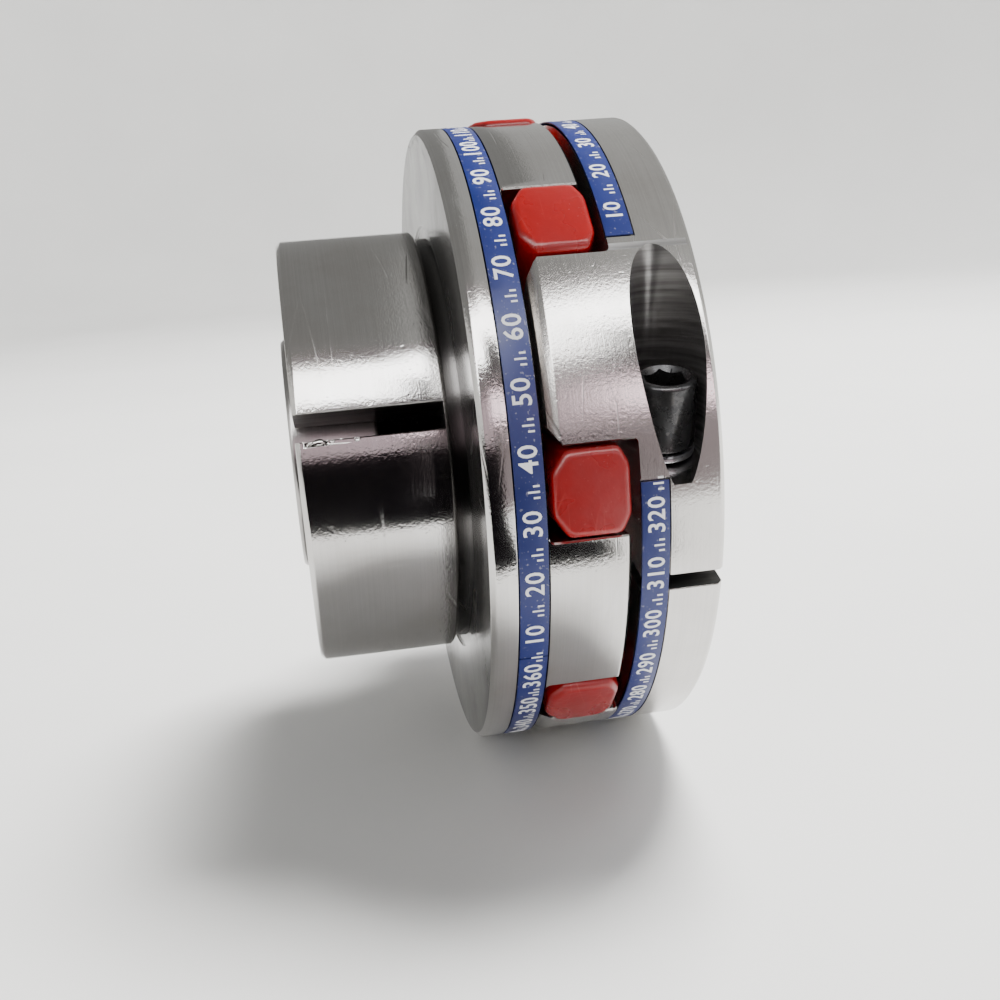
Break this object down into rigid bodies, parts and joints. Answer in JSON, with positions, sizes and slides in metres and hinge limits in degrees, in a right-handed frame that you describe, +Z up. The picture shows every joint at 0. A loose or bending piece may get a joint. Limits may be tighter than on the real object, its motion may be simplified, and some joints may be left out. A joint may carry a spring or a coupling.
{
  "type": "jaw coupling",
  "caption": "Short elastomer jaw coupling: slit expanding-cone hub, red spider and clamping hub, with two blue scale bands.",
  "frame": {"origin": "on the coupling axis, in the plane of the flange's outer face, where the hollow shaft ends", "axes": "+X along the coupling axis from the expanding hub to the clamping hub; +Z up, through a spider arm, with arms every 45 degrees"},
  "size_m": [0.0468, 0.0828, 0.0828],
  "materials": {
    "turned_steel": "fine-turned bare steel, bright, light scratches",
    "ground_steel": "ground bare steel, slightly darker",
    "black_oxide": "black oxide, satin, oiled",
    "zinc_plate": "bright zinc plate",
    "red_elastomer": "glossy red polyurethane, hard",
    "blue_band": "printed foil, satin, white figures"
  },
  "bodies": {
    "expanding_hub": {"expanding_hub": "turned_steel", "flange_label_band": "blue_band", "draw_screw_washer": "zinc_plate"},
    "cone": {"expansion_cone": "ground_steel", "cone_pin": "ground_steel"},
    "draw_screw": {"draw_screw": "black_oxide"},
    "spider": {"spider": "red_elastomer"},
    "clamping_hub": {"clamping_hub": "turned_steel", "clamp_label_band": "blue_band"},
    "clamping_screw_washer": {"clamping_screw_washer": "zinc_plate"},
    "clamping_screw": {"clamping_screw": "black_oxide"}
  },
  "joints": [
    {"name": "spider_release", "type": "slide", "parent": "expanding_hub", "child": "spider", "axis": [1, 0, 0], "range_m": [0, 0.012]},
    {"name": "clamping_hub_release", "type": "slide", "parent": "spider", "child": "clamping_hub", "axis": [1, 0, 0], "range_m": [0, 0.012]},
    {"name": "cone_travel", "type": "slide", "parent": "expanding_hub", "child": "cone", "axis": [1, 0, 0], "range_m": [-0.003, 0.00075]},
    {"name": "draw_screw_turn", "type": "hinge", "parent": "expanding_hub", "child": "draw_screw", "pos_m": [0, 0, 0], "axis": [-1, 0, 0], "range_deg": [-721, 181]},
    {"name": "clamping_screw_travel", "type": "slide", "parent": "clamping_hub", "child": "clamping_screw_washer", "axis": [0, -0.2874, 0.9578], "range_m": [0, 0.0021]},
    {"name": "clamping_screw_turn", "type": "hinge", "parent": "clamping_screw_washer", "child": "clamping_screw", "pos_m": [0.0218, -0.03027, -0.00908], "axis": [0, -0.2874, 0.9578], "range_deg": [0, 1081]}
  ],
  "couplings": [
    {"joint": "draw_screw_turn", "follows": "cone_travel", "rad_per_m": 4188.8},
    {"joint": "clamping_screw_turn", "follows": "clamping_screw_travel", "rad_per_m": 8976}
  ]
}
